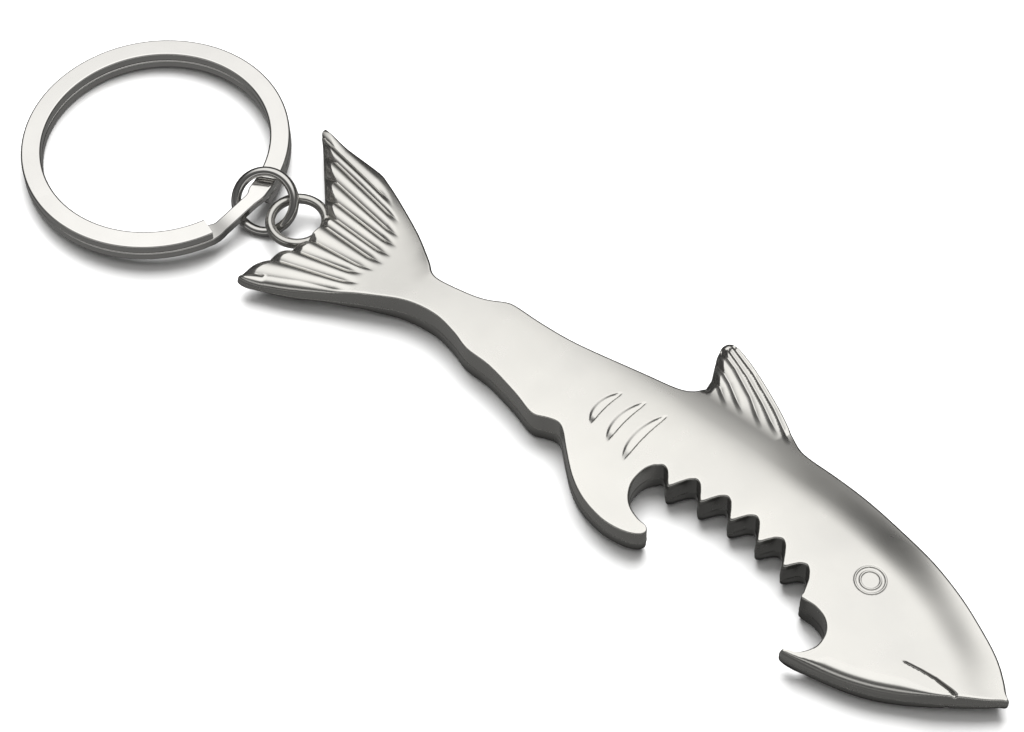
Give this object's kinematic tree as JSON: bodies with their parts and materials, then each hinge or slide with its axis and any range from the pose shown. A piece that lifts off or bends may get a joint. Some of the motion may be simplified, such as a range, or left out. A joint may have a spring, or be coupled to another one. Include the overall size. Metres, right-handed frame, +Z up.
{
  "type": "key-chain bottle opener",
  "caption": "Flat shark-shaped metal bottle opener with a notched bite for the cap, a cast tail eyelet, a jump ring and a split key ring.",
  "frame": {"origin": "on the flat land of the opener's underside, near the middle of its length, where it rests on the table", "axes": "+X along the opener towards the nose, +Y towards the back fin, +Z up through the thickness, away from the underside"},
  "size_m": [0.1367, 0.0357, 0.0056],
  "materials": {
    "satin_nickel": "satin pearl nickel plate on a zinc die casting",
    "bright_nickel": "polished nickel plate on steel wire"
  },
  "bodies": {
    "shark": {"shark_body": "satin_nickel"},
    "jump_link": {"jump_ring": "bright_nickel"},
    "key_ring": {"split_ring": "bright_nickel"}
  },
  "joints": [
    {"name": "eyelet_link", "type": "hinge", "parent": "shark", "child": "jump_link", "pos_m": [-0.0346, -0.0012, 0.0024], "axis": [0.1202, -0.8513, 0.5108], "range_deg": [-20, 30]},
    {"name": "key_ring_link", "type": "hinge", "parent": "jump_link", "child": "key_ring", "pos_m": [-0.037, -0.00065, 0.00263], "axis": [0.176, -0.8589, 0.4809], "range_deg": [-20, 30]}
  ]
}
